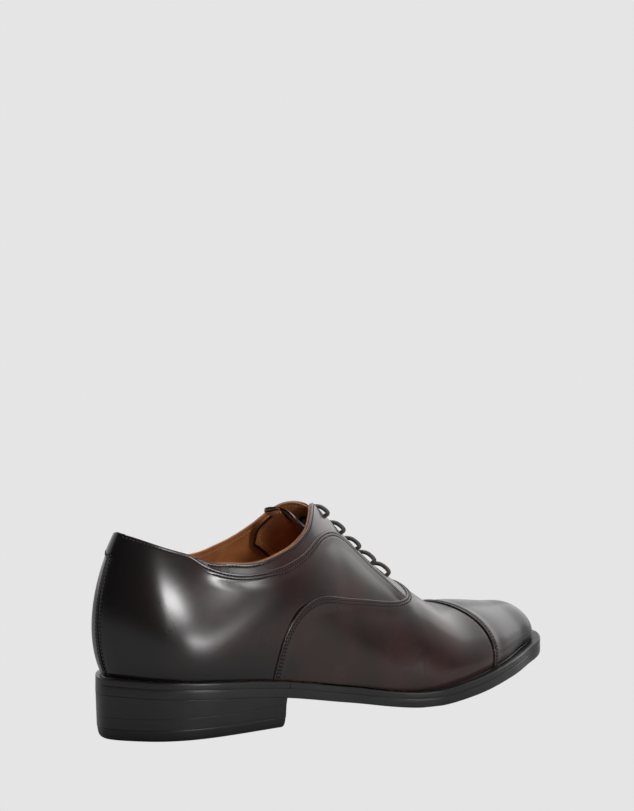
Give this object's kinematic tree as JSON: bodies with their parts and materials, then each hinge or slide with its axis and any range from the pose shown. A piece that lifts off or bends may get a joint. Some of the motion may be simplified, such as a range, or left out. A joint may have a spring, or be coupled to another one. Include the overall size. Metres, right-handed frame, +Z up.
{
  "type": "oxford shoe",
  "caption": "Right dress shoe with a plain cap toe and closed lacing, on a leather sole with a low stacked heel.",
  "frame": {"origin": "middle of the box's bottom face, on the ground under the shoe", "axes": "+X to the toe, +Z up, -Y to the outer side of the foot"},
  "size_m": [0.3022, 0.1022, 0.1088],
  "materials": {
    "upper_calf": "polished dark brown calf",
    "burnished_calf": "burnished nearly black, polished",
    "lining_calf": "matt tan lining leather",
    "stiffener": "plain leather board",
    "cork": "granular cork",
    "shank_steel": "brushed",
    "sole_edge": "black edge ink, waxed",
    "top_lift_rubber": "satin black rubber",
    "nail_brass": "ground flush",
    "waxed_cotton": "round waxed cotton",
    "lace_tip": "smooth",
    "eyelet_metal": "dark lacquer"
  },
  "bodies": {
    "shoe": {"quarter_outer": "upper_calf", "quarter_inner": "upper_calf", "facing_outer": "upper_calf", "facing_inner": "upper_calf", "vamp": "upper_calf", "heel_tab": "upper_calf", "toe_cap": "burnished_calf", "quarter_lining_outer": "lining_calf", "quarter_lining_inner": "lining_calf", "heel_lining": "lining_calf", "vamp_lining": "lining_calf", "sock_liner": "lining_calf", "heel_counter": "stiffener", "toe_puff": "stiffener", "insole": "stiffener", "seat_filler": "stiffener", "cork_filler": "cork", "shank": "shank_steel", "outsole": "sole_edge", "welt": "sole_edge", "heel_rand": "sole_edge", "heel_lift": "sole_edge", "heel_wedge": "sole_edge", "top_lift": "top_lift_rubber", "heel_nail_outer_1": "nail_brass", "heel_nail_outer_2": "nail_brass", "heel_nail_outer_3": "nail_brass", "heel_nail_inner_1": "nail_brass", "heel_nail_inner_2": "nail_brass", "heel_nail_inner_3": "nail_brass", "lace": "waxed_cotton", "aglet_outer": "lace_tip", "aglet_inner": "lace_tip", "eyelet_outer_1": "eyelet_metal", "eyelet_outer_2": "eyelet_metal", "eyelet_outer_3": "eyelet_metal", "eyelet_outer_4": "eyelet_metal", "eyelet_outer_5": "eyelet_metal", "eyelet_inner_1": "eyelet_metal", "eyelet_inner_2": "eyelet_metal", "eyelet_inner_3": "eyelet_metal", "eyelet_inner_4": "eyelet_metal", "eyelet_inner_5": "eyelet_metal"},
    "tongue_flap": {"tongue": "upper_calf", "tongue_lining": "lining_calf"}
  },
  "joints": [
    {"name": "tongue_hinge", "type": "hinge", "parent": "shoe", "child": "tongue_flap", "pos_m": [0.0494, 0, 0.0495], "axis": [0, -1, 0], "range_deg": [0, 20], "stiffness_Nm_per_rad": 0.05, "springref_deg": -5.73}
  ]
}
